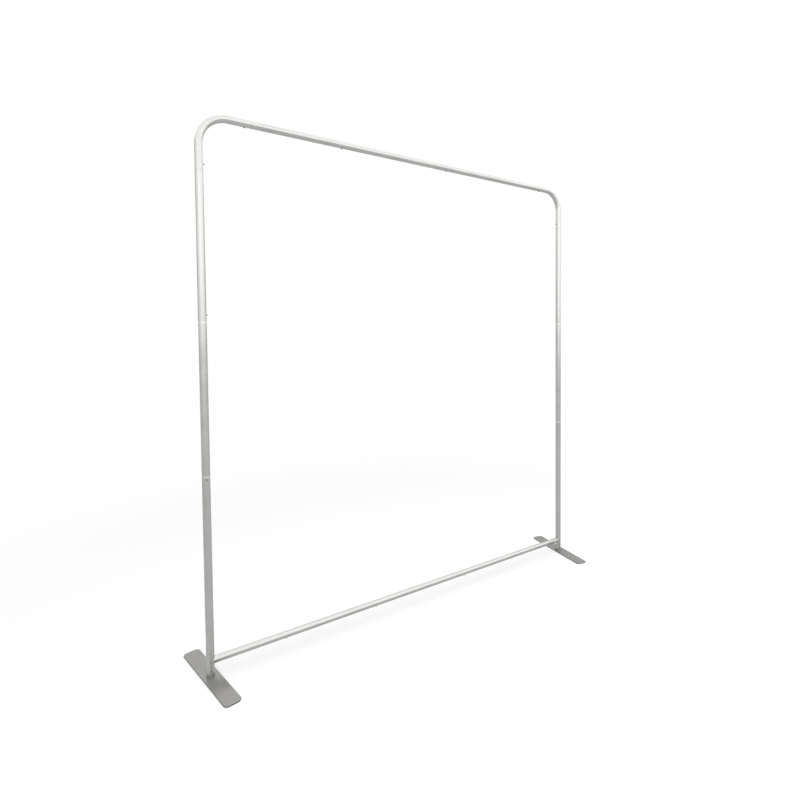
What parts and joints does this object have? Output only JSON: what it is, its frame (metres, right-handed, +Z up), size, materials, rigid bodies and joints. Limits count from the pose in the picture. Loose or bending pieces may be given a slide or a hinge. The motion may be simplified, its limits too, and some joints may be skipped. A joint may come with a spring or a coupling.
{
  "type": "tension fabric display stand",
  "caption": "Free-standing plug-together tube frame for a stretched fabric display cover, with rounded top corners, snap-button joints and flat swivelling foot plates.",
  "frame": {"origin": "on the floor midway between the two posts", "axes": "+X along the bars to the right, -Y towards the front, +Z up along the posts"},
  "size_m": [2.237, 0.4434, 2.28],
  "materials": {
    "anodised_tube": "satin anodised",
    "polished_sleeve": "bright turned",
    "plated_button": "nickel plated",
    "spring_steel": "bright strip",
    "plug_nylon": "moulded",
    "zinc_screw": "zinc plated",
    "satin_steel_plate": "satin"
  },
  "bodies": {
    "frame": {"left_post_lower_tube": "anodised_tube", "left_post_middle_tube": "anodised_tube", "left_post_upper_tube": "anodised_tube", "left_elbow": "anodised_tube", "bottom_bar_left_end": "anodised_tube", "bottom_bar_left_tube": "anodised_tube", "left_foot_plug": "plug_nylon", "left_foot_screw": "zinc_screw", "left_post_lower_sleeve": "polished_sleeve", "left_post_upper_sleeve": "polished_sleeve", "left_elbow_post_sleeve": "polished_sleeve", "left_elbow_bar_sleeve": "polished_sleeve", "left_bar_end_spigot": "polished_sleeve", "top_bar_left_sleeve": "polished_sleeve", "left_post_spring_clips": "spring_steel", "right_post_lower_tube": "anodised_tube", "right_post_middle_tube": "anodised_tube", "right_post_upper_tube": "anodised_tube", "right_elbow": "anodised_tube", "bottom_bar_right_end": "anodised_tube", "bottom_bar_right_tube": "anodised_tube", "right_foot_plug": "plug_nylon", "right_foot_screw": "zinc_screw", "right_post_lower_sleeve": "polished_sleeve", "right_post_upper_sleeve": "polished_sleeve", "right_elbow_post_sleeve": "polished_sleeve", "right_elbow_bar_sleeve": "polished_sleeve", "right_bar_end_spigot": "polished_sleeve", "top_bar_right_sleeve": "polished_sleeve", "right_post_spring_clips": "spring_steel", "top_bar_left_tube": "anodised_tube", "top_bar_middle_tube": "anodised_tube", "top_bar_right_tube": "anodised_tube", "bottom_bar_middle_tube": "anodised_tube", "bottom_bar_outer_left_sleeve": "polished_sleeve", "bottom_bar_inner_left_sleeve": "polished_sleeve", "bottom_bar_inner_right_sleeve": "polished_sleeve", "bottom_bar_outer_right_sleeve": "polished_sleeve", "top_bar_spring_clips": "spring_steel", "bottom_bar_spring_clips": "spring_steel"},
    "left_foot": {"left_foot_plate": "satin_steel_plate"},
    "right_foot": {"right_foot_plate": "satin_steel_plate"},
    "left_post_lower_button": {"left_post_lower_button": "plated_button"},
    "left_post_upper_button": {"left_post_upper_button": "plated_button"},
    "left_elbow_post_button": {"left_elbow_post_button": "plated_button"},
    "left_elbow_bar_button": {"left_elbow_bar_button": "plated_button"},
    "left_bar_end_button": {"left_bar_end_button": "plated_button"},
    "top_bar_left_button": {"top_bar_left_button": "plated_button"},
    "right_post_lower_button": {"right_post_lower_button": "plated_button"},
    "right_post_upper_button": {"right_post_upper_button": "plated_button"},
    "right_elbow_post_button": {"right_elbow_post_button": "plated_button"},
    "right_elbow_bar_button": {"right_elbow_bar_button": "plated_button"},
    "right_bar_end_button": {"right_bar_end_button": "plated_button"},
    "top_bar_right_button": {"top_bar_right_button": "plated_button"},
    "bottom_bar_outer_left_button": {"bottom_bar_outer_left_button": "plated_button"},
    "bottom_bar_inner_left_button": {"bottom_bar_inner_left_button": "plated_button"},
    "bottom_bar_inner_right_button": {"bottom_bar_inner_right_button": "plated_button"},
    "bottom_bar_outer_right_button": {"bottom_bar_outer_right_button": "plated_button"}
  },
  "joints": [
    {"name": "left_foot_swivel", "type": "hinge", "parent": "frame", "child": "left_foot", "pos_m": [-1.05, 0, 0], "axis": [0, 0, 1], "range_deg": [-99.8, 80.2]},
    {"name": "right_foot_swivel", "type": "hinge", "parent": "frame", "child": "right_foot", "pos_m": [1.05, 0, 0], "axis": [0, 0, 1], "range_deg": [-80.2, 99.8]},
    {"name": "left_post_lower_press", "type": "slide", "parent": "frame", "child": "left_post_lower_button", "axis": [0, 1, 0], "range_m": [0, 0.006], "stiffness_N_per_m": 600, "springref_m": -0.008, "deforming": ["left_post_spring_clips"]},
    {"name": "left_post_upper_press", "type": "slide", "parent": "frame", "child": "left_post_upper_button", "axis": [-1, 0, 0], "range_m": [0, 0.006], "stiffness_N_per_m": 600, "springref_m": -0.008, "deforming": ["left_post_spring_clips"]},
    {"name": "left_elbow_post_press", "type": "slide", "parent": "frame", "child": "left_elbow_post_button", "axis": [-1, 0, 0], "range_m": [0, 0.006], "stiffness_N_per_m": 600, "springref_m": -0.008, "deforming": ["left_post_spring_clips"]},
    {"name": "left_elbow_bar_press", "type": "slide", "parent": "frame", "child": "left_elbow_bar_button", "axis": [0, 0, 1], "range_m": [0, 0.006], "stiffness_N_per_m": 600, "springref_m": -0.008, "deforming": ["top_bar_spring_clips"]},
    {"name": "left_bar_end_press", "type": "slide", "parent": "frame", "child": "left_bar_end_button", "axis": [0, 1, 0], "range_m": [0, 0.006], "stiffness_N_per_m": 600, "springref_m": -0.008, "deforming": ["bottom_bar_spring_clips"]},
    {"name": "top_bar_left_press", "type": "slide", "parent": "frame", "child": "top_bar_left_button", "axis": [0, 0, 1], "range_m": [0, 0.006], "stiffness_N_per_m": 600, "springref_m": -0.008, "deforming": ["top_bar_spring_clips"]},
    {"name": "right_post_lower_press", "type": "slide", "parent": "frame", "child": "right_post_lower_button", "axis": [0, 1, 0], "range_m": [0, 0.006], "stiffness_N_per_m": 600, "springref_m": -0.008, "deforming": ["right_post_spring_clips"]},
    {"name": "right_post_upper_press", "type": "slide", "parent": "frame", "child": "right_post_upper_button", "axis": [1, 0, 0], "range_m": [0, 0.006], "stiffness_N_per_m": 600, "springref_m": -0.008, "deforming": ["right_post_spring_clips"]},
    {"name": "right_elbow_post_press", "type": "slide", "parent": "frame", "child": "right_elbow_post_button", "axis": [1, 0, 0], "range_m": [0, 0.006], "stiffness_N_per_m": 600, "springref_m": -0.008, "deforming": ["right_post_spring_clips"]},
    {"name": "right_elbow_bar_press", "type": "slide", "parent": "frame", "child": "right_elbow_bar_button", "axis": [0, 0, 1], "range_m": [0, 0.006], "stiffness_N_per_m": 600, "springref_m": -0.008, "deforming": ["top_bar_spring_clips"]},
    {"name": "right_bar_end_press", "type": "slide", "parent": "frame", "child": "right_bar_end_button", "axis": [0, 1, 0], "range_m": [0, 0.006], "stiffness_N_per_m": 600, "springref_m": -0.008, "deforming": ["bottom_bar_spring_clips"]},
    {"name": "top_bar_right_press", "type": "slide", "parent": "frame", "child": "top_bar_right_button", "axis": [0, 0, 1], "range_m": [0, 0.006], "stiffness_N_per_m": 600, "springref_m": -0.008, "deforming": ["top_bar_spring_clips"]},
    {"name": "bottom_bar_outer_left_press", "type": "slide", "parent": "frame", "child": "bottom_bar_outer_left_button", "axis": [0, 0, 1], "range_m": [0, 0.006], "stiffness_N_per_m": 600, "springref_m": -0.008, "deforming": ["bottom_bar_spring_clips"]},
    {"name": "bottom_bar_inner_left_press", "type": "slide", "parent": "frame", "child": "bottom_bar_inner_left_button", "axis": [0, 0, 1], "range_m": [0, 0.006], "stiffness_N_per_m": 600, "springref_m": -0.008, "deforming": ["bottom_bar_spring_clips"]},
    {"name": "bottom_bar_inner_right_press", "type": "slide", "parent": "frame", "child": "bottom_bar_inner_right_button", "axis": [0, 0, 1], "range_m": [0, 0.006], "stiffness_N_per_m": 600, "springref_m": -0.008, "deforming": ["bottom_bar_spring_clips"]},
    {"name": "bottom_bar_outer_right_press", "type": "slide", "parent": "frame", "child": "bottom_bar_outer_right_button", "axis": [0, 0, 1], "range_m": [0, 0.006], "stiffness_N_per_m": 600, "springref_m": -0.008, "deforming": ["bottom_bar_spring_clips"]}
  ]
}
